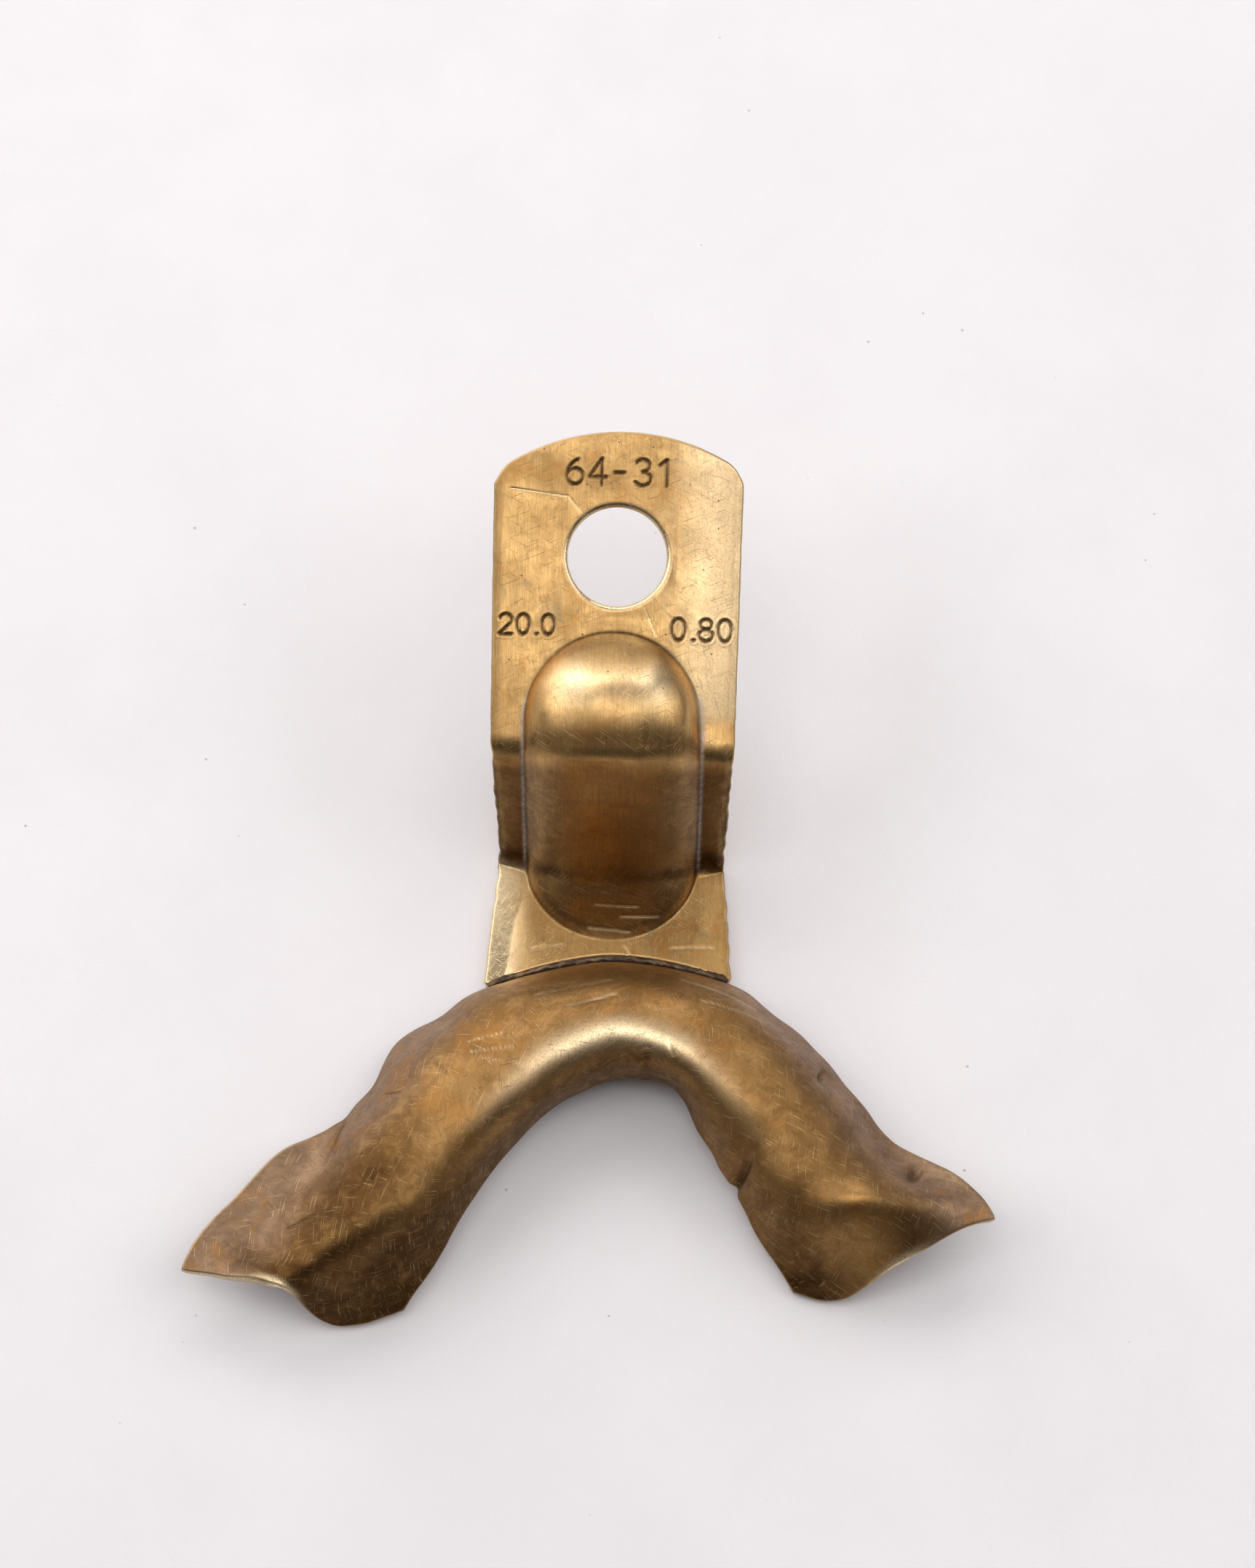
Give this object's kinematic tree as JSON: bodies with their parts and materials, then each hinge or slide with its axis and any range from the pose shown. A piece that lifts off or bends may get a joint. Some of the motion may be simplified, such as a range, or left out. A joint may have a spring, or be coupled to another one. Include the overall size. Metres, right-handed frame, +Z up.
{
  "type": "dental impression tray",
  "caption": "Pressed brass impression tray for a toothless lower jaw: horseshoe trough, S-bent handle with raised stiffening boss and punched hanging hole",
  "frame": {"origin": "on the table, under the middle of the tray's bounding box, with the tray lying trough-down", "axes": "+Y forward along the handle, +X to the right seen from behind the trough, +Z up, away from the table"},
  "size_m": [0.064, 0.0678, 0.0247],
  "materials": {
    "tray_brass": "worn, brown patina, fine scratches",
    "handle_brass": "lengthwise brushed, worn, tarnished creases",
    "braze": "dark, grainy, tarnished"
  },
  "bodies": {
    "root": {"tray_body": "tray_brass", "handle": "handle_brass", "braze_seam": "braze"}
  },
  "joints": []
}
